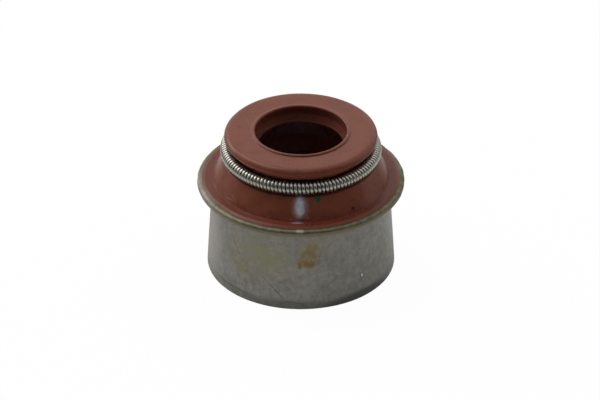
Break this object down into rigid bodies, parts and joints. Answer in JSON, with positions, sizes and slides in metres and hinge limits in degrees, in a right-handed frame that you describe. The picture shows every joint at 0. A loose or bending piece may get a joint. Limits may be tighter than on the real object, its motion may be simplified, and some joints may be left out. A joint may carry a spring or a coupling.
{
  "type": "valve stem seal",
  "caption": "Round valve stem seal: flanged pressed steel sleeve, red-brown rubber body with a stem lip, and a coiled garter spring in its groove.",
  "frame": {"origin": "on the seal's axis, at the foot of the case", "axes": "+Z along the axis, from the foot of the case towards the head and its lip"},
  "size_m": [0.0158, 0.0158, 0.0116],
  "materials": {
    "case_steel": "bare pressed sheet steel, dull, with yellow-brown stains and fine scratches",
    "seal_rubber": "moulded red-brown fluorocarbon rubber, satin",
    "spring_steel": "drawn spring wire, bright"
  },
  "bodies": {
    "root": {"steel_case": "case_steel", "rubber_body": "seal_rubber", "garter_spring": "spring_steel"}
  },
  "joints": []
}
